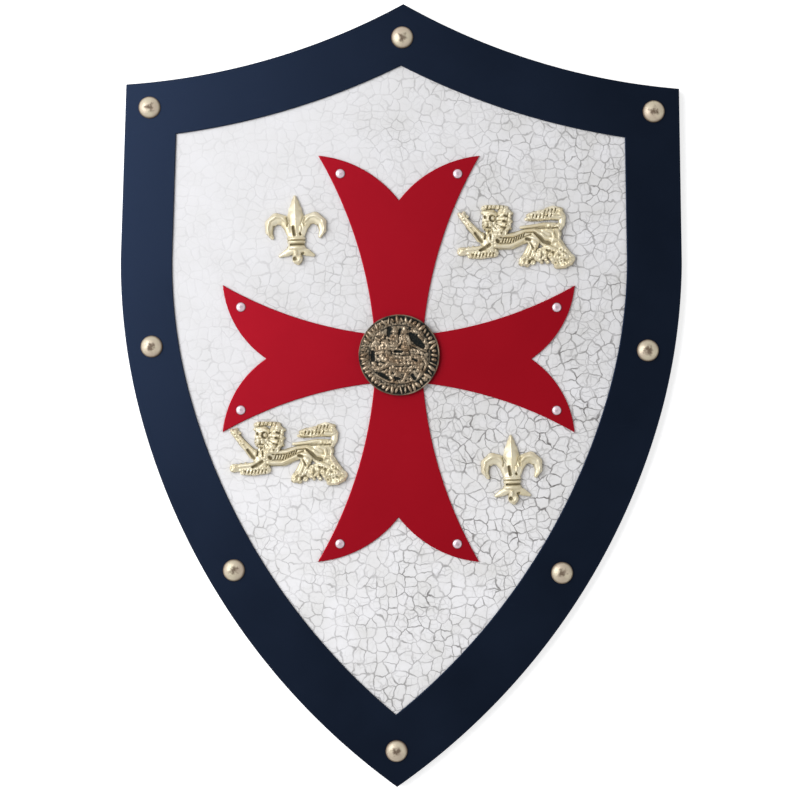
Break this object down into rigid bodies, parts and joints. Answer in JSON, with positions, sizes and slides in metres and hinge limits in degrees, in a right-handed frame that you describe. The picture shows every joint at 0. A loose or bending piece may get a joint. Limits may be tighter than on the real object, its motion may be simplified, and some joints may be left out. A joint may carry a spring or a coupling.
{
  "type": "crusader shield",
  "caption": "Flat heater-shaped display shield: crackled white board, navy steel border, red forked cross, cast lions, fleurs-de-lis and a round medallion.",
  "frame": {"origin": "middle of the box around the shield, on its back face", "axes": "+Z out of the front, +Y from the bottom point to the top point, +X to the right when the front is seen with the top up"},
  "size_m": [0.4372, 0.61, 0.0175],
  "materials": {
    "board": "white crackle paint on the front, dark paint on edges and back",
    "border_paint": "satin navy paint",
    "cross_paint": "satin red paint",
    "stud_brass": "pale antique brass, satin, with a dark worn spot on top",
    "nail_steel": "bright nickel plate",
    "charge_gold": "pale gold plate, darkened in the hollows",
    "medallion_bronze": "antique bronze, near black in the hollows"
  },
  "bodies": {
    "root": {"board": "board", "border_plate": "border_paint", "cross_plate": "cross_paint", "stud_top": "stud_brass", "stud_bottom": "stud_brass", "stud_shoulder_left": "stud_brass", "stud_shoulder_right": "stud_brass", "stud_middle_left": "stud_brass", "stud_middle_right": "stud_brass", "stud_low_left": "stud_brass", "stud_low_right": "stud_brass", "nail_upright_upper_left": "nail_steel", "nail_upright_upper_right": "nail_steel", "nail_upright_lower_left": "nail_steel", "nail_upright_lower_right": "nail_steel", "nail_arm_upper_left": "nail_steel", "nail_arm_upper_right": "nail_steel", "nail_arm_lower_left": "nail_steel", "nail_arm_lower_right": "nail_steel", "lion_upper": "charge_gold", "lion_lower": "charge_gold", "fleur_de_lis_upper": "charge_gold", "fleur_de_lis_lower": "charge_gold", "medallion": "medallion_bronze"}
  },
  "joints": []
}
